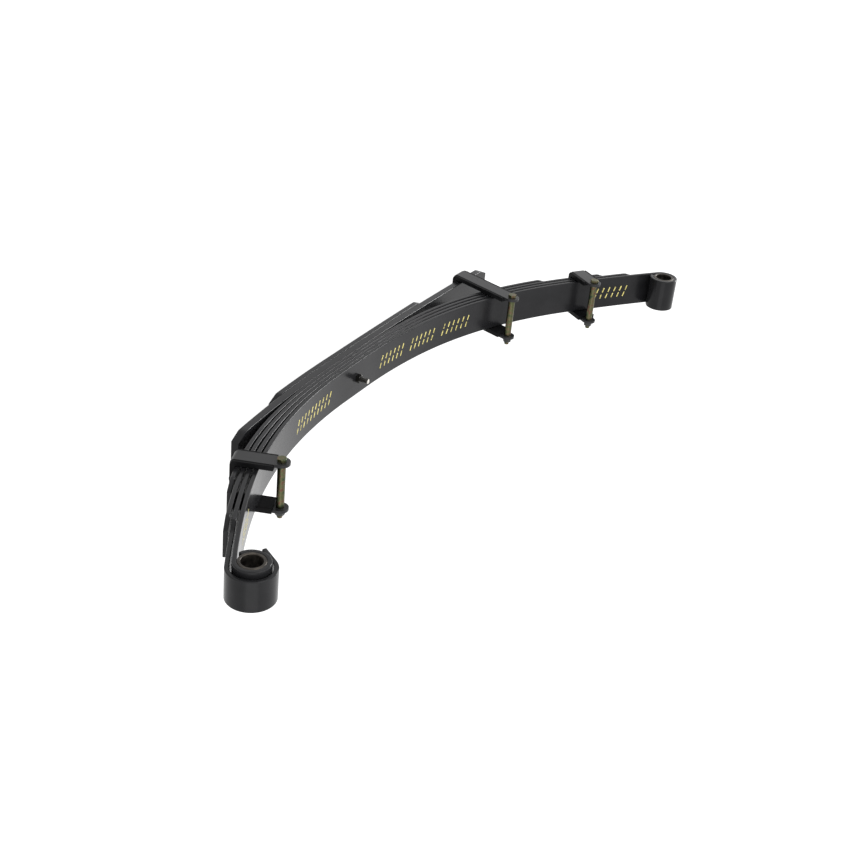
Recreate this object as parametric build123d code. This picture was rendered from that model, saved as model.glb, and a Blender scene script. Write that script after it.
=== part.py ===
from build123d import *
import os
from math import atan2, cos, degrees, hypot, radians, sin, sqrt

# Multi-leaf suspension spring for a light off-road vehicle, in millimetres.
# X runs along the spring: the wrapped front eye is at -X and the shackle eye at +X.
# Y is the width of the leaves, and +Z is up: the side of the vehicle frame.
# The origin is on the centre bolt, on the flat seat that lies on the axle pad.

# ---- leaves ----
LEAF_WIDTH = 60.0
LEAF_THICK = 6.35
OVERLOAD_THICK = 12.7
LOWEST_THICK = 9.5
STACK_GAP = 0.1  # clear space between leaves where the centre bolt clamps them
LEAF_SPREAD = 2.6  # how much further apart neighbouring leaves stand along the arms
SPREAD_LENGTH = 300.0  # past the seat, where that spread is reached
SEAT_HALF = 35.0  # flat length each side of the centre bolt
STATION_STEP = 40.0

# Each arm of the main leaf is a run of arcs (radius, length) after the flat seat.
FRONT, REAR = -1, 1
MAIN_ARCS = {
    FRONT: [(976.0, 109.0), (848.0, 300.0), (1700.0, 151.0)],
    REAR: [(1083.0, 145.0), (819.0, 362.0), (2400.0, 211.0)],
}
ARM_LENGTH = {side: SEAT_HALF + sum(arc[1] for arc in MAIN_ARCS[side]) for side in (FRONT, REAR)}

# Where each leaf ends, measured along the main leaf from the centre bolt.
SECOND_REAR_TIP = 712.0
THIRD_TIPS = {FRONT: 520.0, REAR: 655.0}
FOURTH_TIPS = {FRONT: 428.0, REAR: 529.0}

# The two flat leaves below the pack: one radius for each arm, and their lengths.
OVERLOAD_RADIUS = {FRONT: 2300.0, REAR: 8500.0}
OVERLOAD_TIPS = {FRONT: 316.0, REAR: 485.0}
LOWEST_RADIUS = {FRONT: 2400.0, REAR: 15000.0}
LOWEST_TIPS = {FRONT: 191.0, REAR: 282.0}

TIP_CUT_LENGTH = 21.0  # each leaf end has its two corners cut off
TIP_CUT_WIDTH = 9.0

# ---- eyes ----
EYE_INNER_RADIUS = 19.15
EYE_OUTER_RADIUS = EYE_INNER_RADIUS + LEAF_THICK
EYE_SWEEP = 315.0
WRAP_INNER_RADIUS = 28.0
WRAP_EDGES = (-26.0, 21.0)  # the wrap's two sides, across the spring
WRAP_SWEEP = 208.0
WRAP_TAIL = 30.0  # the wrap's straight end, which stands off the eye
WRAP_SHOULDER = (505.0, 517.0)  # from the centre bolt, where the second leaf narrows
SLEEVE_OUTER_RADIUS = EYE_INNER_RADIUS - 0.05
SLEEVE_BORE_RADIUS = 14.6
SLEEVE_EDGE = 0.8

# ---- centre bolt ----
CENTRE_BOLT_RADIUS = 4.0
CENTRE_HOLE_RADIUS = 4.2
CENTRE_HEAD_RADIUS = 8.0
CENTRE_HEAD_HEIGHT = 7.0
CENTRE_STUD_ABOVE = 20.5
SPOT_FACE_RADIUS = 9.5
SPOT_FACE_DEPTH = 0.4
NUT_ACROSS_FLATS = 13.0
CENTRE_NUT_HEIGHT = 7.0

# ---- rebound clips ----
STRAP_THICK = 4.5
STRAP_WIDTH = 25.0
STRAP_INNER_HALF = 35.1
STRAP_BEND = 7.0  # outer radius of the strap's two bends
LINER_INNER_HALF = 31.5
LINER_THICK = 3.5
LINER_WIDTH = 34.0
LINER_BEND = 4.0
LINER_LIP_RISE = 3.9  # how far the rims beside the strap stand out
LINER_ABOVE_LEAF = 20.5  # how far the liner's legs reach past the main leaf
BOLT_ABOVE_LEAF = 29.0  # how far the clip bolt stands above the main leaf
CLIP_FIT = 0.1
CLIP_FOOT_TOP = 5.0  # the straight foot reaches this far above the leaf's lower face
CLIP_FOOT_DEPTH = 9.0  # and this far below it
CLIP_BOLT_RADIUS = 4.0
CLIP_HOLE_RADIUS = 4.25
CLIP_HEAD_HEIGHT = 5.3
CLIP_NUT_HEIGHT = 8.0
CLIP_THREAD_BEYOND = 5.5
SPACER_RADIUS = 6.0
RIVET_RADIUS = 4.0
RIVET_HOLE_RADIUS = 4.1
RIVET_HEAD_RADIUS = 7.0
RIVET_HEAD_HEIGHT = 4.0

FRONT_CLIP_STATION = 362.0
REAR_CLIP_STATION = 588.0
MIDDLE_CLIP_BASE = 412.0  # on the overload leaf, along X
MIDDLE_CLIP_STATION = 395.0  # on the main leaf, where its bolt stands

PACK_HEIGHT = 4 * LEAF_THICK + OVERLOAD_THICK + LOWEST_THICK + 5 * STACK_GAP


# ---- the curve of the pack ----
def main_path(side, length):
    """Point, outward direction and upward normal on the main leaf's upper face."""
    x, z, turn = min(length, SEAT_HALF), PACK_HEIGHT, 0.0
    left = length - SEAT_HALF
    for radius, arc_length in MAIN_ARCS[side]:
        if left <= 0:
            break
        step = min(left, arc_length)
        x += radius * (sin(turn + step / radius) - sin(turn))
        z += radius * (cos(turn) - cos(turn + step / radius))
        turn += step / radius
        left -= step
    return Vector(side * x, z), Vector(side * cos(turn), sin(turn)), Vector(-side * sin(turn), cos(turn))


def leaf_gap(length):
    """Space between two neighbouring leaves: closed on the seat, open along the arms."""
    share = min(max(length - SEAT_HALF, 0) / SPREAD_LENGTH, 1)
    return STACK_GAP + LEAF_SPREAD * share**2 * (3 - 2 * share)


def leaf_point(side, length, leaf, face):
    """A point on the upper (face 0) or lower (face 1) side of leaf 1 to 4."""
    depth = (leaf - 1 + face) * LEAF_THICK + (leaf - 1) * leaf_gap(length)
    point, _, normal = main_path(side, length)
    return point - normal * depth


def stations(tip):
    """Places along an arm at even steps, ending exactly at the tip."""
    count = int((tip - SEAT_HALF) / STATION_STEP)
    inner = [SEAT_HALF + STATION_STEP * i for i in range(count + 1)]
    if tip - inner[-1] < STATION_STEP / 3:
        inner.pop()
    return inner + [tip]


def arm_curve(points, side):
    """A smooth line through the points that leaves the flat seat along X."""
    flat = [(p.X, p.Y) for p in points]
    ahead = points[-1] - points[-2]
    return Spline(*flat, tangents=[(side, 0), (ahead.X, ahead.Y)])


def upper_curve(leaf, face, side, tip):
    return arm_curve([leaf_point(side, s, leaf, face) for s in stations(tip)], side)


def arc_between(centre, radius, down, out, start, end):
    """An arc round an eye, its angles measured from straight down the leaf's normal."""
    def at(angle):
        a = radians(angle)
        p = centre + down * (radius * cos(a)) + out * (radius * sin(a))
        return (p.X, p.Y)
    middle = (start + end) / 2
    return ThreePointArc(at(start), at(middle), at(end)), at(start), at(end)


def roll(centre, inner, outer, down, out, sweep, tail=0):
    """The edges of a leaf rolled round an eye, from its inner start to its outer start."""
    half = sweep / 2
    inner_a, _, _ = arc_between(centre, inner, down, out, 0, half)
    inner_b, _, inner_end = arc_between(centre, inner, down, out, half, sweep)
    outer_a, _, _ = arc_between(centre, outer, down, out, 0, half)
    outer_b, _, outer_end = arc_between(centre, outer, down, out, half, sweep)
    if not tail:
        return [inner_a, inner_b, Line(inner_end, outer_end), outer_b, outer_a]
    run = (out * cos(radians(sweep)) - down * sin(radians(sweep))) * tail
    inner_tip, outer_tip = [(end[0] + run.X, end[1] + run.Y) for end in (inner_end, outer_end)]
    straight = [Line(inner_end, inner_tip), Line(inner_tip, outer_tip), Line(outer_tip, outer_end)]
    return [inner_a, inner_b] + straight + [outer_b, outer_a]


def seat_line(z):
    return Line((-SEAT_HALF, z), (SEAT_HALF, z))


def extruded(edges, width=LEAF_WIDTH):
    """A solid of the closed side view, centred on the spring's middle plane."""
    side_view = Plane.XZ * make_face(Wire(edges))
    return extrude(side_view, amount=width / 2, both=True)


def tip_cuts(x_tip, side):
    """Two wedges that cut the corners off a leaf's end, in plan."""
    cuts = []
    for edge in (-1, 1):
        outer = edge * (LEAF_WIDTH / 2 + 1)
        inner = edge * (LEAF_WIDTH / 2 - TIP_CUT_WIDTH)
        rate = TIP_CUT_WIDTH / TIP_CUT_LENGTH
        back = x_tip - side * (TIP_CUT_LENGTH + 1 / rate)
        ahead = x_tip + side * 5
        corner = Polyline((back, outer), (x_tip, inner), (ahead, inner), (ahead, outer), close=True)
        cuts.append(extrude(Plane.XY.offset(-100) * make_face(corner), amount=600))
    return cuts


def centre_hole():
    return Cylinder(CENTRE_HOLE_RADIUS, 200)


def spot_face(z, upwards):
    """A shallow round recess under the bolt head or the nut."""
    middle = z - SPOT_FACE_DEPTH / 2 if upwards else z + SPOT_FACE_DEPTH / 2
    return Pos(0, 0, middle) * Cylinder(SPOT_FACE_RADIUS, SPOT_FACE_DEPTH)


# ---- the four curved leaves ----
def main_leaf():
    edges = [seat_line(PACK_HEIGHT), seat_line(PACK_HEIGHT - LEAF_THICK)]
    for side in (FRONT, REAR):
        tip = ARM_LENGTH[side]
        end, out, up = main_path(side, tip)
        edges += [upper_curve(1, face, side, tip) for face in (0, 1)]
        edges += roll(end + up * EYE_INNER_RADIUS, EYE_INNER_RADIUS, EYE_OUTER_RADIUS, up * -1, out, EYE_SWEEP)
    return extruded(edges) - centre_hole() - spot_face(PACK_HEIGHT, True)


def wrap_centre():
    """Centre of the loose wrap, set so that the wrap runs on from the second leaf."""
    start = leaf_point(FRONT, ARM_LENGTH[FRONT], 2, 0)
    _, out, up = main_path(FRONT, ARM_LENGTH[FRONT])
    return start + up * WRAP_INNER_RADIUS, out, up


def second_leaf():
    z = PACK_HEIGHT - LEAF_THICK - STACK_GAP
    edges = [seat_line(z), seat_line(z - LEAF_THICK)]
    edges += [upper_curve(2, face, FRONT, ARM_LENGTH[FRONT]) for face in (0, 1)]
    centre, out, up = wrap_centre()
    outer_radius = WRAP_INNER_RADIUS + LEAF_THICK
    edges += roll(centre, WRAP_INNER_RADIUS, outer_radius, up * -1, out, WRAP_SWEEP, WRAP_TAIL)
    rear = [upper_curve(2, face, REAR, SECOND_REAR_TIP) for face in (0, 1)]
    edges += rear + [Line(rear[0] @ 1, rear[1] @ 1)]
    solid = extruded(edges) - centre_hole()
    shoulder = [leaf_point(FRONT, length, 2, 0).X for length in WRAP_SHOULDER]
    far = shoulder[1] - 120
    for edge, narrow in zip((-1, 1), WRAP_EDGES):
        full, outside = edge * (LEAF_WIDTH / 2), edge * LEAF_WIDTH
        plan = Polyline(
            (shoulder[0], outside), (shoulder[0], full), (shoulder[1], narrow), (far, narrow), (far, outside),
            close=True,
        )
        solid -= extrude(Plane.XY.offset(-100) * make_face(plan), amount=600)
    rear_tip = leaf_point(REAR, SECOND_REAR_TIP, 2, 0).X
    return solid - tip_cuts(rear_tip, REAR)


def plain_leaf(leaf, tips, rivet_side=None, rivet_station=0):
    """The third or fourth leaf, with the hole for a clip rivet if it carries one."""
    z = PACK_HEIGHT - (leaf - 1) * (LEAF_THICK + STACK_GAP)
    edges = [seat_line(z), seat_line(z - LEAF_THICK)]
    cuts = [centre_hole()]
    for side in (FRONT, REAR):
        pair = [upper_curve(leaf, face, side, tips[side]) for face in (0, 1)]
        edges += pair + [Line(pair[0] @ 1, pair[1] @ 1)]
        cuts += tip_cuts((pair[0] @ 1).X, side)
    if rivet_side:
        base = clip_base(rivet_side, rivet_station, leaf)
        cuts.append(base * Cylinder(RIVET_HOLE_RADIUS, 40))
    return extruded(edges) - cuts


# ---- the two flat leaves ----
def flat_leaf_point(side, x, radius, z):
    """A point on one face of a lower leaf: flat on the seat, then one arc."""
    along = max(x - SEAT_HALF, 0)
    angle = along / radius
    return Vector(side * (SEAT_HALF + radius * sin(angle)), z + radius * (1 - cos(angle)))


def lower_leaf(top, thick, radii, tips, cuts):
    edges = [seat_line(top), seat_line(top - thick)]
    cuts = [centre_hole()] + cuts
    for side in (FRONT, REAR):
        inner, outer = radii[side], radii[side] + thick
        ends = []
        for radius, z in ((inner, top), (outer, top - thick)):
            tip = SEAT_HALF + (tips[side] - SEAT_HALF) * radius / inner
            points = [flat_leaf_point(side, x, radius, z) for x in (SEAT_HALF, (SEAT_HALF + tip) / 2, tip)]
            edges.append(ThreePointArc(*[(p.X, p.Y) for p in points]))
            ends.append((points[-1].X, points[-1].Y))
        edges.append(Line(*ends))
        cuts += tip_cuts(ends[1][0], side)
    return extruded(edges) - cuts


OVERLOAD_TOP = PACK_HEIGHT - 4 * (LEAF_THICK + STACK_GAP)
LOWEST_TOP = OVERLOAD_TOP - OVERLOAD_THICK - STACK_GAP


def overload_leaf():
    rivet = middle_clip_base() * Cylinder(RIVET_HOLE_RADIUS, 60)
    return lower_leaf(OVERLOAD_TOP, OVERLOAD_THICK, OVERLOAD_RADIUS, OVERLOAD_TIPS, [rivet])


def lowest_leaf():
    return lower_leaf(LOWEST_TOP, LOWEST_THICK, LOWEST_RADIUS, LOWEST_TIPS, [spot_face(0, False)])


# ---- eye sleeves ----
def eye_centre(side):
    end, _, up = main_path(side, ARM_LENGTH[side])
    return end + up * EYE_INNER_RADIUS


def eye_sleeve(side):
    tube = Cylinder(SLEEVE_OUTER_RADIUS, LEAF_WIDTH) - Cylinder(SLEEVE_BORE_RADIUS, LEAF_WIDTH)
    tube = chamfer(tube.edges().filter_by(GeomType.CIRCLE), SLEEVE_EDGE)
    centre = eye_centre(side)
    return Pos(centre.X, 0, centre.Y) * Rot(90, 0, 0) * tube


# ---- centre bolt ----
def centre_bolt():
    """The head stands below the seat and locates the spring on the axle pad."""
    head_top = SPOT_FACE_DEPTH
    head = Pos(0, 0, head_top - CENTRE_HEAD_HEIGHT / 2) * Cylinder(CENTRE_HEAD_RADIUS, CENTRE_HEAD_HEIGHT)
    rim = head.edges().filter_by(GeomType.CIRCLE).sort_by(Axis.Z)[0]
    head = chamfer(rim, 0.8)
    top = PACK_HEIGHT + CENTRE_STUD_ABOVE
    shank = Pos(0, 0, (head_top + top) / 2) * Cylinder(CENTRE_BOLT_RADIUS, top - head_top)
    shank = chamfer(shank.edges().filter_by(GeomType.CIRCLE).sort_by(Axis.Z)[-1], 0.8)
    return head + shank


def hex_nut(across, height, bore):
    """A nut standing on z = 0 with its corners turned off at both ends."""
    blank = extrude(RegularPolygon(across / sqrt(3), 6), amount=height)
    crown = Pos(0, 0, height / 2) * Cylinder(across / sqrt(3), height)
    crown = chamfer(crown.edges().filter_by(GeomType.CIRCLE), 0.9)
    return (blank & crown) - Pos(0, 0, height / 2) * Cylinder(bore, height)


def centre_nut():
    nut = hex_nut(NUT_ACROSS_FLATS, CENTRE_NUT_HEIGHT, CENTRE_BOLT_RADIUS)
    return Pos(0, 0, PACK_HEIGHT - SPOT_FACE_DEPTH) * Rot(0, 0, 12) * nut


# ---- rebound clips ----
def frame_at(point, along):
    """A frame on a leaf's lower face: X along the leaf, Z towards the upper side."""
    up = Vector(-along.Y, along.X)
    return Plane(origin=(point.X, 0, point.Y), x_dir=(along.X, 0, along.Y), z_dir=(up.X, 0, up.Y)).location


def clip_base(side, station, leaf):
    """Frame of a clip under leaf 3 or 4, square to the main leaf."""
    behind, here, ahead = [leaf_point(side, station + step, leaf, 1) for step in (-5, 0, 5)]
    return frame_at(here, (ahead - behind).normalized() * side)


def middle_clip_base():
    """Frame of the middle clip, on the underside of the overload leaf."""
    radius = OVERLOAD_RADIUS[REAR] + OVERLOAD_THICK
    point = flat_leaf_point(REAR, MIDDLE_CLIP_BASE, radius, OVERLOAD_TOP - OVERLOAD_THICK)
    angle = (MIDDLE_CLIP_BASE - SEAT_HALF) / radius
    return frame_at(point, Vector(cos(angle), sin(angle)))


def bolt_point(base, side, station):
    """Where a clip's bolt stands above the main leaf, in the clip's own frame."""
    point, _, up = main_path(side, station)
    place = point + up * BOLT_ABOVE_LEAF
    local = base.inverse() * Pos(place.X, 0, place.Y)
    return local.position.X, local.position.Z


def side_outline(bolt, width, reach):
    """The clip as a block seen from the side: a foot under the leaf, and legs that lean to the bolt."""
    long = hypot(*bolt) + reach
    lean = degrees(atan2(bolt[0], bolt[1]))
    legs = Rot(0, lean, 0) * Pos(0, 0, long / 2) * Box(width, 120, long)
    foot = Pos(0, 0, (CLIP_FOOT_TOP - CLIP_FOOT_DEPTH) / 2) * Box(width, 120, CLIP_FOOT_TOP + CLIP_FOOT_DEPTH)
    return legs + foot


def u_bar(half_inner, thick, floor, outer_bend, inner_bend, height):
    """A U across the spring, open at the top, as a long bar along the leaf."""
    bottom, top = floor - thick, height + 40
    outer = Pos(0, (bottom + top) / 2) * RectangleRounded(2 * (half_inner + thick), top - bottom, outer_bend)
    inner = Pos(0, (floor + top) / 2 + 20) * RectangleRounded(2 * half_inner, top - floor + 40, inner_bend)
    return extrude(Plane.YZ * (outer - inner), amount=90, both=True)


def clip_strap(bolt):
    floor = -(2 * CLIP_FIT + LINER_THICK)
    bar = u_bar(STRAP_INNER_HALF, STRAP_THICK, floor, STRAP_BEND, STRAP_BEND - STRAP_THICK, bolt[1])
    ear = Pos(bolt[0], 0, bolt[1]) * Rot(90, 0, 0) * Cylinder(STRAP_WIDTH / 2, 120)
    hole = Pos(bolt[0], 0, bolt[1]) * Rot(90, 0, 0) * Cylinder(CLIP_HOLE_RADIUS, 120)
    return (bar & (side_outline(bolt, STRAP_WIDTH, 0) + ear)) - hole - Cylinder(RIVET_HOLE_RADIUS, 60)


def clip_liner(bolt):
    """The plastic channel inside the strap, with a rim along both of its edges."""
    whole = side_outline(bolt, LINER_WIDTH, LINER_ABOVE_LEAF - BOLT_ABOVE_LEAF)
    strap_room = side_outline(bolt, STRAP_WIDTH + 2 * CLIP_FIT, 60)
    thin = u_bar(LINER_INNER_HALF, LINER_THICK, -CLIP_FIT, LINER_BEND, CLIP_FIT, bolt[1])
    thick = u_bar(LINER_INNER_HALF, LINER_THICK + LINER_LIP_RISE, -CLIP_FIT, STRAP_BEND, CLIP_FIT, bolt[1])
    rims = (thick & whole) - strap_room
    return (thin & whole) + rims - Cylinder(RIVET_HOLE_RADIUS, 30)


def clip_bolt(bolt):
    outer = STRAP_INNER_HALF + STRAP_THICK
    length = 2 * outer + CLIP_NUT_HEIGHT + CLIP_THREAD_BEYOND
    shank = Pos(0, 0, -length / 2) * Cylinder(CLIP_BOLT_RADIUS, length)
    shank = chamfer(shank.edges().filter_by(GeomType.CIRCLE).sort_by(Axis.Z)[0], 0.8)
    head = hex_nut(NUT_ACROSS_FLATS, CLIP_HEAD_HEIGHT, CLIP_BOLT_RADIUS / 2)
    plug = Pos(0, 0, CLIP_HEAD_HEIGHT / 2) * Cylinder(CLIP_BOLT_RADIUS, CLIP_HEAD_HEIGHT)
    screw = shank + head + plug
    return Pos(bolt[0], outer, bolt[1]) * Rot(-90, 0, 0) * Rot(0, 0, 10) * screw


def clip_spacer(bolt):
    length = 2 * (STRAP_INNER_HALF - CLIP_FIT)
    tube = Cylinder(SPACER_RADIUS, length) - Cylinder(CLIP_HOLE_RADIUS, length)
    return Pos(bolt[0], 0, bolt[1]) * Rot(90, 0, 0) * tube


def clip_nut(bolt):
    nut = hex_nut(NUT_ACROSS_FLATS, CLIP_NUT_HEIGHT, CLIP_BOLT_RADIUS)
    outer = STRAP_INNER_HALF + STRAP_THICK
    return Pos(bolt[0], -outer, bolt[1]) * Rot(90, 0, 0) * Rot(0, 0, 20) * nut


def clip_rivet(leaf_thick):
    """A domed head under the strap and a shank flush with the leaf's upper face."""
    under = -(2 * CLIP_FIT + LINER_THICK + STRAP_THICK)
    top = leaf_thick - CLIP_FIT
    shank = Pos(0, 0, (under + top) / 2) * Cylinder(RIVET_RADIUS, top - under)
    ball = (RIVET_HEAD_RADIUS**2 + RIVET_HEAD_HEIGHT**2) / (2 * RIVET_HEAD_HEIGHT)
    dome = Pos(0, 0, under - RIVET_HEAD_HEIGHT + ball) * Sphere(ball)
    slab = Pos(0, 0, under - RIVET_HEAD_HEIGHT / 2) * Cylinder(RIVET_HEAD_RADIUS + 1, RIVET_HEAD_HEIGHT)
    return shank + (dome & slab)


def clip_nodes(name, base, side, station, leaf_thick):
    bolt = bolt_point(base, side, station)
    return {
        f"{name}_clip_strap": base * clip_strap(bolt),
        f"{name}_clip_liner": base * clip_liner(bolt),
        f"{name}_clip_bolt": base * clip_bolt(bolt),
        f"{name}_clip_spacer": base * clip_spacer(bolt),
        f"{name}_clip_nut": base * clip_nut(bolt),
        f"{name}_clip_rivet": base * clip_rivet(leaf_thick),
    }


nodes = {
    "main_leaf": main_leaf(),
    "second_leaf": second_leaf(),
    "third_leaf": plain_leaf(3, THIRD_TIPS, REAR, REAR_CLIP_STATION),
    "fourth_leaf": plain_leaf(4, FOURTH_TIPS, FRONT, FRONT_CLIP_STATION),
    "overload_leaf": overload_leaf(),
    "lowest_leaf": lowest_leaf(),
    "front_eye_sleeve": eye_sleeve(FRONT),
    "rear_eye_sleeve": eye_sleeve(REAR),
    "centre_bolt": centre_bolt(),
    "centre_nut": centre_nut(),
}
nodes |= clip_nodes("front", clip_base(FRONT, FRONT_CLIP_STATION, 4), FRONT, FRONT_CLIP_STATION, LEAF_THICK)
nodes |= clip_nodes("middle", middle_clip_base(), REAR, MIDDLE_CLIP_STATION, OVERLOAD_THICK)
nodes |= clip_nodes("rear", clip_base(REAR, REAR_CLIP_STATION, 3), REAR, REAR_CLIP_STATION, LEAF_THICK)

os.makedirs("parts", exist_ok=True)
for name, shape in nodes.items():
    export_step(shape, f"parts/{name}.step")

for side, name in ((FRONT, "front"), (REAR, "rear")):
    centre = eye_centre(side)
    print(f"{name} eye centre: x {centre.X:.3f}, z {centre.Y:.3f}")
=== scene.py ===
import math

import bmesh
import bpy
from mathutils import Matrix, Vector


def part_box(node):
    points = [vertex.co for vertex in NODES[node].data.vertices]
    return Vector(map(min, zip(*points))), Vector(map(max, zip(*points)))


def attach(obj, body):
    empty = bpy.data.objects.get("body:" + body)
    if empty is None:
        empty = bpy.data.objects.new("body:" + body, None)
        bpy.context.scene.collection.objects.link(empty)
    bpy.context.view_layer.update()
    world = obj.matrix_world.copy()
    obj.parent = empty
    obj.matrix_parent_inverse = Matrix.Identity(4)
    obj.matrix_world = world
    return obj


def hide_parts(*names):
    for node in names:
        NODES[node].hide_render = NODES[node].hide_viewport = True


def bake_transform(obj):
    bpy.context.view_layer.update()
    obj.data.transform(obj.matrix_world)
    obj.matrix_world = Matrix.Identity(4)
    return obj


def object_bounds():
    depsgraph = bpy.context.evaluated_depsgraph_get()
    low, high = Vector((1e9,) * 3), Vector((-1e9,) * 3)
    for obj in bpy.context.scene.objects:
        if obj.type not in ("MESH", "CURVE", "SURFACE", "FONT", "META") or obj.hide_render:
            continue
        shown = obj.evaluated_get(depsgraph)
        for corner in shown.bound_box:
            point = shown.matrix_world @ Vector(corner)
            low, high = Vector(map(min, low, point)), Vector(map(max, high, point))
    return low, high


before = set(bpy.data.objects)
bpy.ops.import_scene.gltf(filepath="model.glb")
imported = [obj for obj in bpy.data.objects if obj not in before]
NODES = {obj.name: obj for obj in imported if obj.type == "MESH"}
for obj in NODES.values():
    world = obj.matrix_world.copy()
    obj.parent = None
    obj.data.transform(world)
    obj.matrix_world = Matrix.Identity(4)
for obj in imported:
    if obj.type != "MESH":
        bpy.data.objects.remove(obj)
cad_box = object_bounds()
MM = 0.001

# ---------------------------------------------------------------- spring sizes, in millimetres
LEAF_WIDTH = 60.0
LEAF_THICK = 6.35
OVERLOAD_THICK = 12.7
LOWEST_THICK = 9.5
STACK_GAP = 0.1
LEAF_SPREAD = 2.6
SPREAD_LENGTH = 300.0
SEAT_HALF = 35.0
FRONT, REAR = -1, 1
MAIN_ARCS = {
    FRONT: [(976.0, 109.0), (848.0, 300.0), (1700.0, 151.0)],
    REAR: [(1083.0, 145.0), (819.0, 362.0), (2400.0, 211.0)],
}
ARM_LENGTH = {side: SEAT_HALF + sum(arc[1] for arc in MAIN_ARCS[side]) for side in (FRONT, REAR)}
SECOND_REAR_TIP = 712.0
THIRD_TIPS = {FRONT: 520.0, REAR: 655.0}
FOURTH_TIPS = {FRONT: 428.0, REAR: 529.0}
OVERLOAD_RADIUS = {FRONT: 2300.0, REAR: 8500.0}
OVERLOAD_TIPS = {FRONT: 316.0, REAR: 485.0}
LOWEST_RADIUS = {FRONT: 2400.0, REAR: 15000.0}
LOWEST_TIPS = {FRONT: 191.0, REAR: 282.0}
TIP_CUT_LENGTH = 21.0
TIP_CUT_WIDTH = 9.0
EYE_INNER_RADIUS = 19.15
EYE_SWEEP = 315.0
WRAP_INNER_RADIUS = 28.0
WRAP_EDGES = (-26.0, 21.0)
WRAP_SWEEP = 208.0
WRAP_TAIL = 30.0
WRAP_SHOULDER = (505.0, 517.0)
PACK_HEIGHT = 4 * LEAF_THICK + OVERLOAD_THICK + LOWEST_THICK + 5 * STACK_GAP
OVERLOAD_TOP = PACK_HEIGHT - 4 * (LEAF_THICK + STACK_GAP)
LOWEST_TOP = OVERLOAD_TOP - OVERLOAD_THICK - STACK_GAP

# ---------------------------------------------------------------- finish sizes, in millimetres
PATH_STEP = 5.0
EYE_STEP_DEGREES = 5.0
EDGE_ROUND = 1.5  # the rolled steel's rounded edges
EDGE_STEPS = 5
FLAT_SUPPORT = 0.7
TIP_BREAK = 0.7  # the sheared ends are filed back a little
BAR_HEIGHT = 9.5
BAR_WIDTH = 2.4
BAR_GAP = 3.0
BAR_PITCH = 12.0
BAR_SLANT = math.radians(-18)
BAR_THICK = 0.12
BAR_SINK = 0.03  # the paint is let into the steel a little
BAR_SEED = 5
BAR_SIZE_SPREAD = ((0.85, 0.96, 1), (1.12, 1.02, 1))  # least and greatest share of a bar's size
LEAF_CREASE = math.radians(35)
STUD_BARE_HEIGHT = (0.0690, 0.0695)  # in metres, where the stud's dark finish gives way to bare steel
STUD_RAGGED_EDGE = 0.002

# The name of each arm's side.
ARM_NAME = {FRONT: "front", REAR: "rear"}


# ---------------------------------------------------------------- the curve of the pack
def main_path(side, length):
    """Point, outward direction and upward normal on the main leaf's upper face, in X and Z."""
    x, z, turn = min(length, SEAT_HALF), PACK_HEIGHT, 0.0
    left = length - SEAT_HALF
    for radius, arc_length in MAIN_ARCS[side]:
        if left <= 0:
            break
        step = min(left, arc_length)
        x += radius * (math.sin(turn + step / radius) - math.sin(turn))
        z += radius * (math.cos(turn) - math.cos(turn + step / radius))
        turn += step / radius
        left -= step
    out = Vector((side * math.cos(turn), math.sin(turn)))
    return Vector((side * x, z)), out, Vector((-side * math.sin(turn), math.cos(turn)))


def leaf_gap(length):
    """Space between two neighbouring leaves: closed on the seat, open along the arms."""
    share = min(max(length - SEAT_HALF, 0) / SPREAD_LENGTH, 1)
    return STACK_GAP + LEAF_SPREAD * share**2 * (3 - 2 * share)


def leaf_point(side, length, leaf, face):
    """A point in leaf 1 to 4: face 0 is its upper side, 1 its lower side and 0.5 its middle."""
    depth = (leaf - 1 + face) * LEAF_THICK + (leaf - 1) * leaf_gap(length)
    point, _, normal = main_path(side, length)
    return point - normal * depth


def flat_leaf_point(side, x, radius, z):
    """A point on a lower leaf: flat on the seat, then one arc."""
    angle = max(x - SEAT_HALF, 0) / radius
    return Vector((side * (min(x, SEAT_HALF) + radius * math.sin(angle)), z + radius * (1 - math.cos(angle))))


def stations(start, end):
    """Even places from start to end, with both ends and the seat's edge among them."""
    count = max(1, round((end - start) / PATH_STEP))
    places = [start + (end - start) * i / count for i in range(count + 1)]
    if start < SEAT_HALF < end:
        places = sorted(set(places) | {SEAT_HALF})
    return places


def tip_share(distance):
    """Share of the full width at this distance back from a leaf's cut tip."""
    cut = max(0.0, 1 - distance / TIP_CUT_LENGTH) * TIP_CUT_WIDTH
    return 1 - cut / (LEAF_WIDTH / 2)


def eye_turns(centre, radius, out, up, sweep, tail=0.0):
    """Points round a rolled eye, from under it round its outer side, and along its straight tail."""
    count = round(sweep / EYE_STEP_DEGREES)
    angles = [math.radians(sweep * (i + 1) / count) for i in range(count)]
    points = [centre - up * (radius * math.cos(a)) + out * (radius * math.sin(a)) for a in angles]
    run = up * math.sin(angles[-1]) + out * math.cos(angles[-1])
    steps = round(tail / PATH_STEP)
    return points + [points[-1] + run * (tail * (i + 1) / steps) for i in range(steps)]


# ---------------------------------------------------------------- node tree helpers
SOCKETS = {
    "length": "NodeSocketFloat", "angle": "NodeSocketFloat", "count": "NodeSocketInt",
    "object": "NodeSocketObject", "finish": "NodeSocketMaterial", "place": "NodeSocketVector",
}


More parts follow.
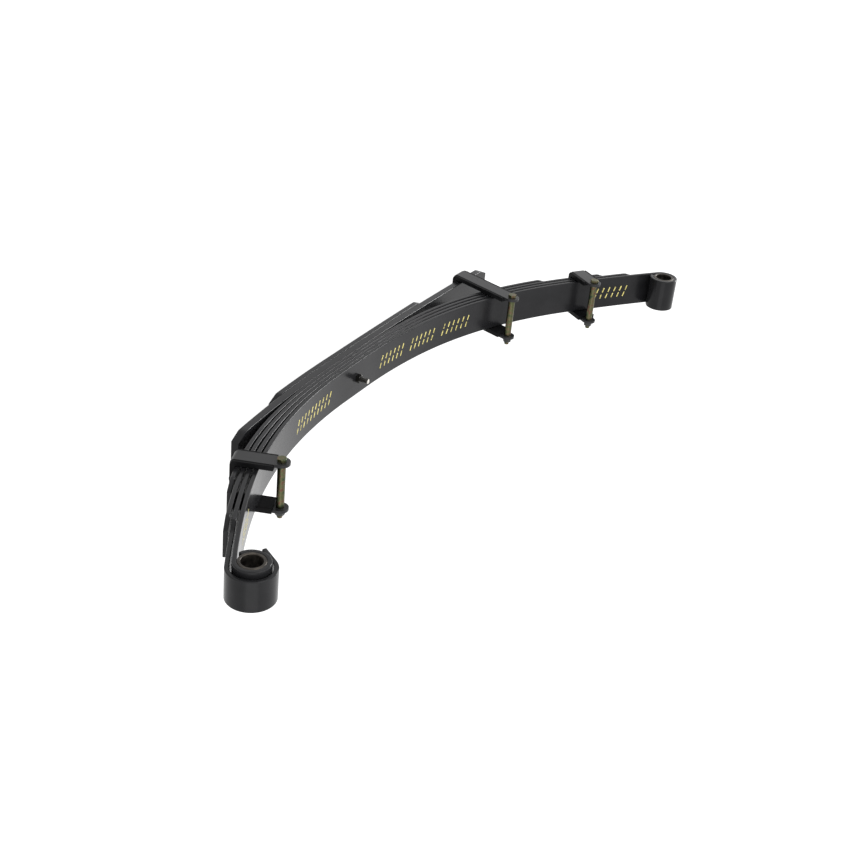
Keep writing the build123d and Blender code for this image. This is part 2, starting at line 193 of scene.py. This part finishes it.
def node_tree(name, inputs):
    """A geometry tree with one geometry input, the named inputs and one geometry output."""
    tree = bpy.data.node_groups.new(name, "GeometryNodeTree")
    tree.interface.new_socket("Geometry", in_out="INPUT", socket_type="NodeSocketGeometry")
    for label, kind, default in inputs:
        socket = tree.interface.new_socket(label, in_out="INPUT", socket_type=SOCKETS[kind])
        if default is not None:
            socket.default_value = default
    tree.interface.new_socket("Geometry", in_out="OUTPUT", socket_type="NodeSocketGeometry")
    return tree, tree.nodes.new("NodeGroupInput"), tree.nodes.new("NodeGroupOutput")


def add_node(tree, kind, settings=None, **sockets):
    """A node with its settings, and its sockets linked or given a value.

    A socket goes by its name, with _ for a space, or by i and its number.
    """
    node = tree.nodes.new(kind)
    for key, value in (settings or {}).items():
        setattr(node, key, value)
    for key, value in sockets.items():
        numbered = key[0] == "i" and key[1:].isdigit()
        target = node.inputs[int(key[1:]) if numbered else key.replace("_", " ")]
        if isinstance(value, bpy.types.NodeSocket):
            tree.links.new(value, target)
        else:
            target.default_value = value
    return node


def maths(tree, operation, *values):
    """The result of one maths node on two or three values."""
    numbered = {f"i{i}": value for i, value in enumerate(values)}
    return add_node(tree, "ShaderNodeMath", {"operation": operation}, **numbered).outputs[0]


def stored(tree, name):
    """The number that line_mesh stored on each point under this name."""
    return add_node(tree, "GeometryNodeInputNamedAttribute", {"data_type": "FLOAT"}, Name=name).outputs[0]


def shaded(tree, geometry, crease):
    """Smooth faces with a hard edge wherever two faces meet at more than the crease angle."""
    smooth = add_node(
        tree, "GeometryNodeSetShadeSmooth", {"domain": "FACE"}, Geometry=geometry, Shade_Smooth=True,
    )
    angle = add_node(tree, "GeometryNodeInputMeshEdgeAngle")
    sharp = add_node(
        tree, "FunctionNodeCompare", {"operation": "GREATER_THAN"}, i0=angle.outputs[0], i1=crease,
    )
    return add_node(
        tree, "GeometryNodeSetShadeSmooth", {"domain": "EDGE"}, Geometry=smooth.outputs[0],
        Selection=sharp.outputs[0], Shade_Smooth=False,
    ).outputs[0]


def finished(tree, group_in, group_out, geometry):
    """Ends a tree with Realize Instances and Set Material."""
    real = add_node(tree, "GeometryNodeRealizeInstances", Geometry=geometry)
    painted = add_node(
        tree, "GeometryNodeSetMaterial", Geometry=real.outputs[0], Material=group_in.outputs["Finish"],
    )
    tree.links.new(painted.outputs[0], group_out.inputs[0])


def grown(name, start_mesh, tree, values):
    """The mesh that a tree makes from start_mesh, as a plain object at the origin."""
    seed = bpy.data.objects.new(name + "_seed", start_mesh)
    bpy.context.scene.collection.objects.link(seed)
    modifier = seed.modifiers.new("grow", "NODES")
    modifier.node_group = tree
    sockets = {item.name: item.identifier for item in tree.interface.items_tree if item.in_out == "INPUT"}
    for label, value in values.items():
        modifier[sockets[label]] = value
    seen = seed.evaluated_get(bpy.context.evaluated_depsgraph_get())
    mesh = bpy.data.meshes.new_from_object(seen)
    seed.modifiers.clear()
    bpy.data.objects.remove(seed)
    mesh.name = name
    shell = bmesh.new()
    shell.from_mesh(mesh)
    bmesh.ops.recalc_face_normals(shell, faces=shell.faces)
    shell.to_mesh(mesh)
    shell.free()
    piece = bpy.data.objects.new(name, mesh)
    bpy.context.scene.collection.objects.link(piece)
    return piece


def line_mesh(name, points, closed=False, **shares):
    """Points joined in a row, with one float attribute for each share."""
    mesh = bpy.data.meshes.new(name)
    edges = [(i, i + 1) for i in range(len(points) - 1)]
    if closed:
        edges.append((len(points) - 1, 0))
    mesh.from_pydata(points, edges, [])
    for key, values in shares.items():
        mesh.attributes.new(key, "FLOAT", "POINT").data.foreach_set("value", values)
    return mesh


# ---------------------------------------------------------------- materials
def material(name):
    """A new material, its node tree and its shader."""
    finish = bpy.data.materials.new(name)
    finish.use_nodes = True
    tree = finish.node_tree
    return finish, tree, tree.nodes["Principled BSDF"]


def noise(tree, coords, scale, detail=2.0, roughness=0.5, stretch=None):
    """Noise on Object coordinates, stretched along an axis where asked."""
    vector = coords
    if stretch:
        vector = add_node(tree, "ShaderNodeMapping", Vector=coords, Scale=stretch).outputs[0]
    return add_node(
        tree, "ShaderNodeTexNoise", Vector=vector, Scale=scale, Detail=detail, Roughness=roughness
    ).outputs["Fac"]


def ramp(tree, value, stops):
    """A colour that runs through the stops, each a place and a colour, as the value grows."""
    node = add_node(tree, "ShaderNodeValToRGB", Fac=value)
    while len(node.color_ramp.elements) < len(stops):
        node.color_ramp.elements.new(0.5)
    for element, (place, colour) in zip(node.color_ramp.elements, stops):
        element.position = place
        element.color = (*colour, 1)
    return node.outputs[0]


def spread(tree, value, low, high, start=0.3, end=0.7):
    """The value's stretch from start to end, laid out from low to high."""
    return add_node(
        tree, "ShaderNodeMapRange", Value=value, From_Min=start, From_Max=end, To_Min=low, To_Max=high
    ).outputs[0]


def bump(tree, shader, height, strength, distance):
    """Fine relief, in metres, on a material's surface."""
    node = add_node(tree, "ShaderNodeBump", Height=height, Strength=strength, Distance=distance)
    tree.links.new(node.outputs[0], shader.inputs["Normal"])


def satin_paint(name, base, rough_low, rough_high, gloss):
    """Black satin paint over scaled spring steel: fine orange peel, faint rolling streaks, soft dust."""
    finish, tree, shader = material(name)
    coords = add_node(tree, "ShaderNodeTexCoord").outputs["Object"]
    patches = noise(tree, coords, 9.0, 4.0, 0.55)
    streaks = noise(tree, coords, 60.0, 3.0, 0.6, (0.06, 1.0, 1.0))
    peel = noise(tree, coords, 900.0, 2.0)
    grain = noise(tree, coords, 3200.0, 1.0)
    both = maths(tree, "MULTIPLY_ADD", streaks, 0.45, patches)
    pale = tuple(channel * 1.9 + 0.001 for channel in base)
    colour = ramp(tree, both, [(0.45, base), (0.95, pale)])
    tree.links.new(colour, shader.inputs["Base Color"])
    tree.links.new(spread(tree, both, rough_low, rough_high, 0.4, 1.0), shader.inputs["Roughness"])
    height = maths(tree, "MULTIPLY_ADD", grain, 0.25, peel)
    bump(tree, shader, height, 0.35, 0.00006)
    shader.inputs["Specular IOR Level"].default_value = gloss
    return finish


def yellow_zinc():
    """Dull yellow-passivated zinc: olive with green and rose patches, brighter where it is rubbed."""
    finish, tree, shader = material("yellow_zinc_plate")
    coords = add_node(tree, "ShaderNodeTexCoord").outputs["Object"]
    tint = noise(tree, coords, 140.0, 3.0, 0.6)
    colour = ramp(tree, tint, [
        (0.30, (0.028, 0.046, 0.030)), (0.43, (0.070, 0.075, 0.036)), (0.55, (0.095, 0.086, 0.048)),
        (0.66, (0.095, 0.040, 0.030)), (0.80, (0.17, 0.16, 0.11)),
    ])
    tree.links.new(colour, shader.inputs["Base Color"])
    marks = noise(tree, coords, 700.0, 2.0)
    tree.links.new(spread(tree, marks, 0.26, 0.46), shader.inputs["Roughness"])
    bump(tree, shader, marks, 0.2, 0.00005)
    shader.inputs["Metallic"].default_value = 1.0
    return finish


def turned_sleeve(name, node):
    """Dark machined steel with a brown tint and fine turning lines round the eye's own axis."""
    finish, tree, shader = material(name)
    low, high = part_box(node)
    middle = (Vector(low) + Vector(high)) / 2
    coords = add_node(tree, "ShaderNodeTexCoord").outputs["Object"]
    centred = add_node(tree, "ShaderNodeMapping", Vector=coords, Location=-middle).outputs[0]
    rings = add_node(
        tree, "ShaderNodeTexWave", {"wave_type": "RINGS", "rings_direction": "Y"}, Vector=centred,
        Scale=420.0, Distortion=0.6, Detail=2.0,
    ).outputs["Fac"]
    patches = noise(tree, coords, 90.0, 4.0, 0.6)
    colour = ramp(tree, patches, [
        (0.32, (0.022, 0.020, 0.018)), (0.55, (0.045, 0.040, 0.034)), (0.75, (0.085, 0.075, 0.062)),
    ])
    tree.links.new(colour, shader.inputs["Base Color"])
    tree.links.new(spread(tree, patches, 0.34, 0.55), shader.inputs["Roughness"])
    bump(tree, shader, rings, 0.25, 0.00004)
    shader.inputs["Metallic"].default_value = 0.9
    return finish


def dark_stud():
    """Oiled dark steel, left bright on the bare end of the stud."""
    finish, tree, shader = material("dark_steel_stud")
    coords = add_node(tree, "ShaderNodeTexCoord").outputs["Object"]
    height = add_node(tree, "ShaderNodeSeparateXYZ", Vector=coords).outputs["Z"]
    speckle = noise(tree, coords, 500.0, 3.0)
    ragged = maths(tree, "MULTIPLY_ADD", speckle, STUD_RAGGED_EDGE, height)
    bare = spread(tree, ragged, 0.0, 1.0, *STUD_BARE_HEIGHT)
    colour = ramp(tree, bare, [(0.2, (0.030, 0.029, 0.027)), (0.8, (0.62, 0.60, 0.56))])
    tree.links.new(colour, shader.inputs["Base Color"])
    tree.links.new(spread(tree, speckle, 0.28, 0.5), shader.inputs["Roughness"])
    bump(tree, shader, speckle, 0.2, 0.00005)
    shader.inputs["Metallic"].default_value = 1.0
    return finish


def moulded_plastic():
    """Black moulded plastic with a fine spark-eroded grain and scuffed patches."""
    finish, tree, shader = material("black_moulded_plastic")
    coords = add_node(tree, "ShaderNodeTexCoord").outputs["Object"]
    scuffs = noise(tree, coords, 45.0, 4.0, 0.6)
    grain = noise(tree, coords, 2400.0, 2.0)
    colour = ramp(tree, scuffs, [(0.35, (0.0025, 0.0025, 0.0028)), (0.75, (0.0070, 0.0070, 0.0075))])
    tree.links.new(colour, shader.inputs["Base Color"])
    tree.links.new(spread(tree, scuffs, 0.45, 0.62), shader.inputs["Roughness"])
    bump(tree, shader, grain, 0.4, 0.00005)
    shader.inputs["Specular IOR Level"].default_value = 0.06
    return finish


def stencil_yellow():
    """Pale yellow stencil paint that lets the black through where it is thin, with near-white patches painted
    in as highlights.
    """
    finish, tree, shader = material("stencil_yellow")
    coords = add_node(tree, "ShaderNodeTexCoord").outputs["Object"]
    wear_and_highlight = noise(tree, coords, 260.0, 4.0, 0.65)
    # from black showing through worn paint, through yellow, to a pale near-white that is a painted highlight
    colour = ramp(tree, wear_and_highlight, [
        (0.30, (0.020, 0.018, 0.006)), (0.44, (0.34, 0.29, 0.07)),
        (0.60, (0.52, 0.46, 0.15)), (0.80, (0.68, 0.65, 0.34)),
    ])
    tree.links.new(colour, shader.inputs["Base Color"])
    tree.links.new(spread(tree, wear_and_highlight, 0.45, 0.65), shader.inputs["Roughness"])
    bump(tree, shader, wear_and_highlight, 0.3, 0.00005)
    return finish


LEAF_PAINT = satin_paint("leaf_satin_paint", (0.0050, 0.0050, 0.0055), 0.16, 0.27, 0.15)
CLIP_PAINT = satin_paint("clip_satin_paint", (0.0080, 0.0080, 0.0085), 0.26, 0.40, 0.18)
NUT_FINISH = satin_paint("dark_plated_nut", (0.0150, 0.0160, 0.0145), 0.22, 0.38, 0.22)
ZINC = yellow_zinc()
STUD = dark_stud()
PLASTIC = moulded_plastic()
STENCIL = stencil_yellow()


# ---------------------------------------------------------------- leaves
def leaf_section(thick):
    """Outline of a rolled bar across its length, with rounded edges and flat faces."""
    half_width, half_thick, r = LEAF_WIDTH / 2, thick / 2, EDGE_ROUND
    points = []
    for sx, sy, start in ((1, 1, 0), (-1, 1, 90), (-1, -1, 180), (1, -1, 270)):
        cx, cy = sx * (half_width - r), sy * (half_thick - r)
        turns = [math.radians(start + 90 * i / EDGE_STEPS) for i in range(EDGE_STEPS + 1)]
        corner = [(cx + r * math.cos(a), cy + r * math.sin(a)) for a in turns]
        before, after = (0, -sy * FLAT_SUPPORT), (-sx * FLAT_SUPPORT, 0)
        if start in (90, 270):
            before, after = (-sx * FLAT_SUPPORT, 0), (0, -sy * FLAT_SUPPORT)
        corner.insert(0, (corner[0][0] + before[0], corner[0][1] + before[1]))
        corner.append((corner[-1][0] + after[0], corner[-1][1] + after[1]))
        points += corner
    mesh = line_mesh(f"bar_section_{thick}", [(x * MM, y * MM, 0) for x, y in points], closed=True)
    section = bpy.data.objects.new(mesh.name, mesh)
    bpy.context.scene.collection.objects.link(section)
    return section


def leaf_tree():
    """Sweeps a bar's section along a line, then narrows and shifts it where the line's attributes say."""
    tree, group_in, group_out = node_tree("rolled_leaf", [
        ("Section", "object", None), ("Crease", "angle", LEAF_CREASE), ("Finish", "finish", None),
    ])
    line = add_node(tree, "GeometryNodeMeshToCurve", Mesh=group_in.outputs["Geometry"])
    level = add_node(
        tree, "GeometryNodeSetCurveNormal", {"mode": "FREE"}, Curve=line.outputs[0], Normal=(0, 1, 0),
    )
    section = add_node(tree, "GeometryNodeObjectInfo", Object=group_in.outputs["Section"])
    outline = add_node(tree, "GeometryNodeMeshToCurve", Mesh=section.outputs["Geometry"])
    thick_share = stored(tree, "thick_share")
    width_share = stored(tree, "width_share")
    side_shift = stored(tree, "side_shift")
    swept = add_node(
        tree, "GeometryNodeCurveToMesh", Curve=level.outputs[0], Profile_Curve=outline.outputs[0],
        Scale=thick_share, Fill_Caps=True,
    )
    position = add_node(tree, "GeometryNodeInputPosition").outputs[0]
    place = add_node(tree, "ShaderNodeSeparateXYZ", Vector=position)
    rate = maths(tree, "DIVIDE", width_share, thick_share)
    across = maths(tree, "MULTIPLY_ADD", place.outputs["Y"], rate, side_shift)
    narrowed = add_node(tree, "ShaderNodeCombineXYZ", X=place.outputs["X"], Y=across, Z=place.outputs["Z"])
    shaped = add_node(
        tree, "GeometryNodeSetPosition", Geometry=swept.outputs[0], Position=narrowed.outputs[0],
    )
    finished(tree, group_in, group_out, shaded(tree, shaped.outputs[0], group_in.outputs["Crease"]))
    return tree


LEAF_TREE = leaf_tree()
SECTIONS = {thick: leaf_section(thick) for thick in (LEAF_THICK, OVERLOAD_THICK, LOWEST_THICK)}


def swept_leaf(name, node, thick, rows, open_start):
    """A leaf from rows of (point, width share, side shift); each free end is filed back a little."""
    points = [Vector((p.x, 0, p.y)) for p, _, _ in rows]
    widths = [share for _, share, _ in rows]
    shifts = [shift * MM for _, _, shift in rows]
    thicks = [1.0] * len(rows)
    end_share = 1 - 2 * TIP_BREAK / thick

    def filed():
        """Files back the end that the lists finish with."""
        step = (points[-1] - points[-2]).normalized() * TIP_BREAK
        points.insert(-1, points[-1] - step)
        widths.insert(-1, widths[-1])
        shifts.insert(-1, shifts[-1])
        thicks.insert(-1, 1.0)
        thicks[-1] = end_share
        widths[-1] *= 1 - 2 * TIP_BREAK / (LEAF_WIDTH * widths[-1])

    filed()
    if not open_start:
        for values in (points, widths, shifts, thicks):
            values.reverse()
        filed()
    mesh = line_mesh(
        name + "_line", [p * MM for p in points], thick_share=thicks, width_share=widths, side_shift=shifts,
    )
    piece = grown(name, mesh, LEAF_TREE, {
        "Section": SECTIONS[thick], "Crease": LEAF_CREASE, "Finish": LEAF_PAINT,
    })
    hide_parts(node)
    return piece


def arm_rows(leaf, side, tip):
    """An arm of a plain leaf, from the centre bolt to its cut tip."""
    points = [leaf_point(side, s, leaf, 0.5) for s in stations(0.0, tip)]
    return [(p, tip_share(abs(points[-1].x - p.x)), 0.0) for p in points]


def eye_rows(leaf, side, inner_radius, sweep, tail=0.0):
    """An arm that ends in a rolled eye."""
    tip = ARM_LENGTH[side]
    rows = [(leaf_point(side, s, leaf, 0.5), 1.0, 0.0) for s in stations(0.0, tip)]
    _, out, up = main_path(side, tip)
    middle = inner_radius + LEAF_THICK / 2
    centre = rows[-1][0] + up * middle
    return rows + [(p, 1.0, 0.0) for p in eye_turns(centre, middle, out, up, sweep, tail)]


def wrap_rows():
    """The second leaf's front arm: it narrows at a shoulder and runs loosely round the eye."""
    rows = []
    shoulder = [abs(leaf_point(FRONT, s, 2, 0.5).x) for s in WRAP_SHOULDER]
    narrow = (WRAP_EDGES[1] - WRAP_EDGES[0]) / LEAF_WIDTH
    shift = (WRAP_EDGES[0] + WRAP_EDGES[1]) / 2
    for point, _, _ in eye_rows(2, FRONT, WRAP_INNER_RADIUS, WRAP_SWEEP, WRAP_TAIL):
        share = min(max((abs(point.x) - shoulder[0]) / (shoulder[1] - shoulder[0]), 0.0), 1.0)
        rows.append((point, 1 + (narrow - 1) * share, shift * share))
    return rows


def flat_rows(radii, tips, top, thick):
    """A lower leaf from its front tip to its rear tip, along its middle."""
    rows = []
    for side in (FRONT, REAR):
        radius = radii[side] + thick / 2
        tip = SEAT_HALF + (tips[side] - SEAT_HALF) * radius / radii[side]
        end = abs(flat_leaf_point(side, tip, radius, 0).x)
        arm = []
        for s in stations(0.0, tip):
            p = flat_leaf_point(side, s, radius, top - thick / 2)
            arm.append((p, tip_share(end - abs(p.x)), 0.0))
        rows = rows[:0:-1] + arm if side == REAR else arm
    return rows


def bend_with_arm(piece):
    """Bakes a piece's placing into its mesh and leaves the piece at the origin."""
    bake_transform(piece)


ARMS = {
    "main_leaf": {side: eye_rows(1, side, EYE_INNER_RADIUS, EYE_SWEEP) for side in (FRONT, REAR)},
    "second_leaf": {FRONT: wrap_rows(), REAR: arm_rows(2, REAR, SECOND_REAR_TIP)},
    "third_leaf": {side: arm_rows(3, side, THIRD_TIPS[side]) for side in (FRONT, REAR)},
    "fourth_leaf": {side: arm_rows(4, side, FOURTH_TIPS[side]) for side in (FRONT, REAR)},
}
for node, arms in ARMS.items():
    for side, rows in arms.items():
        piece = swept_leaf(f"{node}_{ARM_NAME[side]}_arm", node, LEAF_THICK, rows, open_start=True)
        bend_with_arm(piece)

for node, radii, tips, top, thick in (
    ("overload_leaf", OVERLOAD_RADIUS, OVERLOAD_TIPS, OVERLOAD_TOP, OVERLOAD_THICK),
    ("lowest_leaf", LOWEST_RADIUS, LOWEST_TIPS, LOWEST_TOP, LOWEST_THICK),
):
    piece = swept_leaf(f"{node}_bar", node, thick, flat_rows(radii, tips, top, thick), open_start=False)
    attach(piece, "pack")
for section in SECTIONS.values():
    bpy.data.objects.remove(section)


# ---------------------------------------------------------------- clips, sleeves and fasteners
WELD_DISTANCE = 0.002 * MM
FLAT_ANGLE = math.radians(0.6)
SHARP_ANGLE = math.radians(30)
BEVEL_ANGLE = math.radians(32)


def edged_copy(node, body, finish, width, name):
    """A CAD piece with its edges broken, as a pressed, moulded or machined part has them."""
    mesh = NODES[node].data.copy()
    mesh.name = name
    shell = bmesh.new()
    shell.from_mesh(mesh)
    bmesh.ops.remove_doubles(shell, verts=shell.verts, dist=WELD_DISTANCE)
    bmesh.ops.dissolve_limit(shell, angle_limit=FLAT_ANGLE, verts=shell.verts, edges=shell.edges)
    shell.to_mesh(mesh)
    shell.free()
    mesh.materials.clear()
    mesh.materials.append(finish)
    mesh.shade_smooth()
    mesh.set_sharp_from_angle(angle=SHARP_ANGLE)
    seed = bpy.data.objects.new(name + "_seed", mesh)
    bpy.context.scene.collection.objects.link(seed)
    bevel = seed.modifiers.new("edges", "BEVEL")
    bevel.width = width * MM
    bevel.segments = 2
    bevel.limit_method = "ANGLE"
    bevel.angle_limit = BEVEL_ANGLE
    bevel.harden_normals = True
    seen = seed.evaluated_get(bpy.context.evaluated_depsgraph_get())
    final = bpy.data.meshes.new_from_object(seen)
    bpy.data.objects.remove(seed)
    piece = bpy.data.objects.new(name, final)
    bpy.context.scene.collection.objects.link(piece)
    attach(piece, body)
    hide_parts(node)
    return piece


CLIP_BODY = {"front": "front_clip", "middle": "pack", "rear": "rear_clip"}
CLIP_PARTS = (
    ("strap", CLIP_PAINT, "clip_paint", 0.7, "pressed"),
    ("liner", PLASTIC, "liner_plastic", 0.35, "moulded"),
    ("bolt", ZINC, "bolt_zinc", 0.3, "plated"),
    ("spacer", ZINC, "bolt_zinc", 0.4, "plated"),
    ("nut", NUT_FINISH, "bolt_zinc", 0.3, "plated"),
    ("rivet", CLIP_PAINT, "clip_paint", 0.3, "painted"),
)
for clip, body in CLIP_BODY.items():
    for part, finish, slot, width, word in CLIP_PARTS:
        edged_copy(f"{clip}_clip_{part}", body, finish, width, f"{clip}_clip_{word}_{part}")
for end, body in (("front", "front_eye_end"), ("rear", "rear_eye_end")):
    sleeve = f"{end}_eye_sleeve"
    turned = turned_sleeve(f"{end}_turned_sleeve", sleeve)
    edged_copy(sleeve, body, turned, 0.3, f"{end}_eye_turned_sleeve")
edged_copy("centre_bolt", "pack", STUD, 0.3, "centre_bolt_turned")
edged_copy("centre_nut", "pack", STUD, 0.3, "centre_nut_edged")

THREAD_PITCH = 1.25 * MM
THREAD_RIDGE = 0.42 * MM
SHANK_RADIUS = 3.85 * MM
BOLT_PLAIN_END = 0.9 * MM
STUD_PLAIN_END = 1.2 * MM
THREAD_STEPS = 20  # points in one turn


def thread_tree():
    """A thread's ridge: a helix with a small square section set on its corner, laid on a shank."""
    tree, group_in, group_out = node_tree("thread_ridge", [
        ("Radius", "length", SHANK_RADIUS), ("Pitch", "length", THREAD_PITCH), ("Turns", "length", 4.0),
        ("Ridge", "length", THREAD_RIDGE), ("Turn", "place", (0, 0, 0)), ("Place", "place", (0, 0, 0)),
        ("Finish", "finish", None),
    ])
    radius, turns = group_in.outputs["Radius"], group_in.outputs["Turns"]
    helix = add_node(
        tree, "GeometryNodeCurveSpiral", Resolution=THREAD_STEPS, Rotations=turns, Start_Radius=radius,
        End_Radius=radius, Height=maths(tree, "MULTIPLY", group_in.outputs["Pitch"], turns),
    )
    ridge = add_node(
        tree, "GeometryNodeCurvePrimitiveCircle", {"mode": "RADIUS"}, Resolution=4,
        Radius=group_in.outputs["Ridge"],
    )
    swept = add_node(
        tree, "GeometryNodeCurveToMesh", Curve=helix.outputs[0], Profile_Curve=ridge.outputs[0],
        Fill_Caps=True,
    )
    placed = add_node(
        tree, "GeometryNodeTransform", Geometry=swept.outputs[0], Translation=group_in.outputs["Place"],
        Rotation=group_in.outputs["Turn"],
    )
    finished(tree, group_in, group_out, placed.outputs[0])
    return tree


THREAD_TREE = thread_tree()


def thread(name, body, finish, place, turn, length):
    """The ridges on a bolt's bare end, from place and along its length."""
    start = bpy.data.meshes.new(name + "_start")
    piece = grown(name, start, THREAD_TREE, {
        "Radius": SHANK_RADIUS, "Pitch": THREAD_PITCH, "Turns": length / THREAD_PITCH, "Ridge": THREAD_RIDGE,
        "Turn": turn, "Place": place, "Finish": finish,
    })
    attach(piece, body)
    return piece


for clip, body in CLIP_BODY.items():
    low, high = (Vector(corner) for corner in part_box(f"{clip}_clip_nut"))
    bolt_end = Vector(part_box(f"{clip}_clip_bolt")[0]).y
    length = low.y - bolt_end - BOLT_PLAIN_END
    middle = (low + high) / 2
    start = (middle.x, low.y, middle.z)
    thread(f"{clip}_clip_bolt_thread", body, ZINC, start, (math.pi / 2, 0, 0), length)
nut_top = Vector(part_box("centre_nut")[1]).z
stud_top = Vector(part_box("centre_bolt")[1]).z
stud_length = stud_top - nut_top - STUD_PLAIN_END
thread("centre_stud_thread", "pack", STUD, (0, 0, nut_top), (0, 0, 0), stud_length)


# ---------------------------------------------------------------- stencilled paint bars
def bars_tree():
    """A thin slanted bar on every point, turned with the leaf, each a little different in width."""
    tree, group_in, group_out = node_tree("stencil_bars", [
        ("Width", "length", 0.003), ("Height", "length", 0.011), ("Thickness", "length", 0.0001),
        ("Slant", "angle", 0.3), ("Seed", "count", BAR_SEED), ("Finish", "finish", None),
    ])
    size = add_node(
        tree, "ShaderNodeCombineXYZ", X=group_in.outputs["Width"], Y=group_in.outputs["Height"],
        Z=group_in.outputs["Thickness"],
    )
    bar = add_node(
        tree, "GeometryNodeMeshCube", Size=size.outputs[0], Vertices_X=2, Vertices_Y=5, Vertices_Z=2,
    )
    turn = add_node(tree, "ShaderNodeCombineXYZ", Z=group_in.outputs["Slant"])
    slanted = add_node(tree, "GeometryNodeTransform", Geometry=bar.outputs["Mesh"], Rotation=turn.outputs[0])
    rotation = add_node(tree, "ShaderNodeCombineXYZ", Y=stored(tree, "lean"))
    uneven = add_node(
        tree, "FunctionNodeRandomValue", {"data_type": "FLOAT_VECTOR"}, i0=BAR_SIZE_SPREAD[0],
        i1=BAR_SIZE_SPREAD[1], Seed=group_in.outputs["Seed"],
    )
    bars = add_node(
        tree, "GeometryNodeInstanceOnPoints", Points=group_in.outputs["Geometry"],
        Instance=slanted.outputs[0], Rotation=rotation.outputs[0], Scale=uneven.outputs[0],
    )
    finished(tree, group_in, group_out, bars.outputs[0])
    return tree


BARS_TREE = bars_tree()
BAR_GROUPS = {
    FRONT: [(86.0, 193.0), (452.0, 500.0)],
    REAR: [(75.0, 137.0), (165.0, 225.0), (253.0, 315.0), (618.0, 682.0)],
}
for side, groups in BAR_GROUPS.items():
    points, leans = [], []
    for start, end in groups:
        count = round((end - start) / BAR_PITCH)
        for i in range(count + 1):
            station = start + (end - start) * i / count
            for row in (-1, 1):
                across = row * (BAR_HEIGHT + BAR_GAP) / 2
                shift = -math.tan(BAR_SLANT) * across
                point, out, up = main_path(side, station + side * shift)
                top = point + up * (BAR_THICK / 2 - BAR_SINK)
                points.append(Vector((top.x, across, top.y)) * MM)
                leans.append(-side * math.atan2(out.y, abs(out.x)))
    mesh = line_mesh(f"{ARM_NAME[side]}_bar_places", points, lean=leans)
    piece = grown(f"{ARM_NAME[side]}_arm_paint_bars", mesh, BARS_TREE, {
        "Width": BAR_WIDTH * MM, "Height": BAR_HEIGHT * MM, "Thickness": BAR_THICK * MM, "Slant": BAR_SLANT,
        "Seed": BAR_SEED, "Finish": STENCIL,
    })
    bend_with_arm(piece)


# ---------------------------------------------------------------- floor, light and camera
def pale_floor():
    """A pale, even floor that gives off most of its own light."""
    finish, tree, shader = material("pale_floor")
    coords = add_node(tree, "ShaderNodeTexCoord").outputs["Object"]
    mottle = noise(tree, coords, 3.0, 3.0)
    colour = ramp(tree, mottle, [(0.3, (0.10, 0.10, 0.10)), (0.7, (0.11, 0.11, 0.11))])
    tree.links.new(colour, shader.inputs["Base Color"])
    shader.inputs["Roughness"].default_value = 0.85
    shader.inputs["Specular IOR Level"].default_value = 0.1
    shader.inputs["Emission Color"].default_value = (1, 1, 1, 1)
    shader.inputs["Emission Strength"].default_value = 1.0
    return finish


FLOOR_HALF = 60.0
FLOOR_DROP = 0.001
floor_z = cad_box[0].z - FLOOR_DROP
floor_mesh = bpy.data.meshes.new("pale_floor")
corners = [(x * FLOOR_HALF, y * FLOOR_HALF, floor_z) for x, y in ((-1, -1), (1, -1), (1, 1), (-1, 1))]
floor_mesh.from_pydata(corners, [], [(0, 1, 2, 3)])
floor_mesh.materials.append(pale_floor())
floor = bpy.data.objects.new("pale_floor", floor_mesh)
bpy.context.scene.collection.objects.link(floor)


def soft_light(name, place, target, size, power):
    """A white softbox turned to the target."""
    data = bpy.data.lights.new(name, "AREA")
    data.shape = "RECTANGLE"
    data.size, data.size_y = size
    data.energy = power
    light = bpy.data.objects.new(name, data)
    light.location = place
    light.rotation_euler = (Vector(target) - Vector(place)).to_track_quat("-Z", "Y").to_euler()
    bpy.context.scene.collection.objects.link(light)


SPRING_MIDDLE = (0.05, 0, 0.12)
soft_light("key_softbox", (-0.6, 1.2, 2.4), SPRING_MIDDLE, (2.2, 2.2), 45)
soft_light("fill_softbox", (-2.4, -1.2, 1.6), SPRING_MIDDLE, (2.0, 2.0), 12)
soft_light("end_softbox", (2.6, 0.8, 1.4), SPRING_MIDDLE, (0.9, 0.9), 75)

world = bpy.data.worlds.new("white_studio")
world.use_nodes = True
backdrop = world.node_tree.nodes["Background"]
backdrop.inputs["Color"].default_value = (1, 1, 1, 1)
backdrop.inputs["Strength"].default_value = 1.4
bpy.context.scene.world = world
bpy.context.scene.view_settings.view_transform = "Standard"

CAMERA_PLACE = Vector((-1.72677, 1.03124, 1.02620))
CAMERA_AHEAD = Vector((0.78376, -0.48715, -0.38523)).normalized()
CAMERA_UP = Vector((0.39064, 0.86890, -0.30400)).normalized()
camera_right = CAMERA_AHEAD.cross(CAMERA_UP).normalized()
camera_data = bpy.data.cameras.new("camera")
camera_data.lens = 58.463
camera_data.sensor_width = 36.0
camera_data.clip_start = 0.05
camera_data.clip_end = 300.0
camera = bpy.data.objects.new("camera", camera_data)
axes = Matrix((camera_right, camera_right.cross(CAMERA_AHEAD), -CAMERA_AHEAD)).transposed()
camera.matrix_world = Matrix.Translation(CAMERA_PLACE) @ axes.to_4x4()
bpy.context.scene.collection.objects.link(camera)
bpy.context.scene.camera = camera
